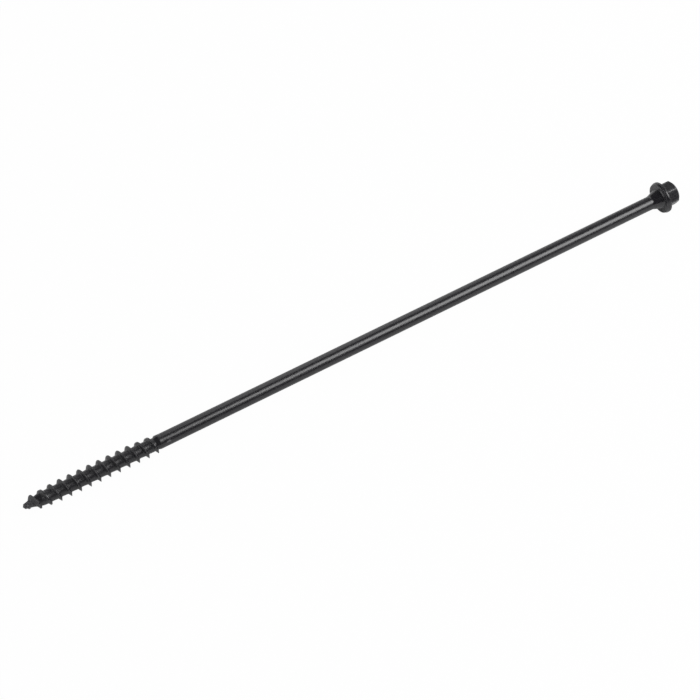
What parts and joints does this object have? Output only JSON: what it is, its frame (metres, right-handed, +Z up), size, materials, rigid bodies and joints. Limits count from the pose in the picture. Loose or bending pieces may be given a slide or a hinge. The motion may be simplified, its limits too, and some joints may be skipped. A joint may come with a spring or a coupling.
{
  "type": "hex timber screw",
  "caption": "Long black-coated timber screw with a hex head, an integral flange, a plain shank and a coarse thread at the point.",
  "frame": {"origin": "centre of the bounding box in plan, at the height of the table it lies on", "axes": "+X along the screw from the point to the head, which lies a little higher, +Z up from the table"},
  "size_m": [0.2564, 0.0114, 0.0114],
  "materials": {
    "black_coating": "satin"
  },
  "bodies": {
    "root": {"hex_timber_screw": "black_coating"}
  },
  "joints": []
}
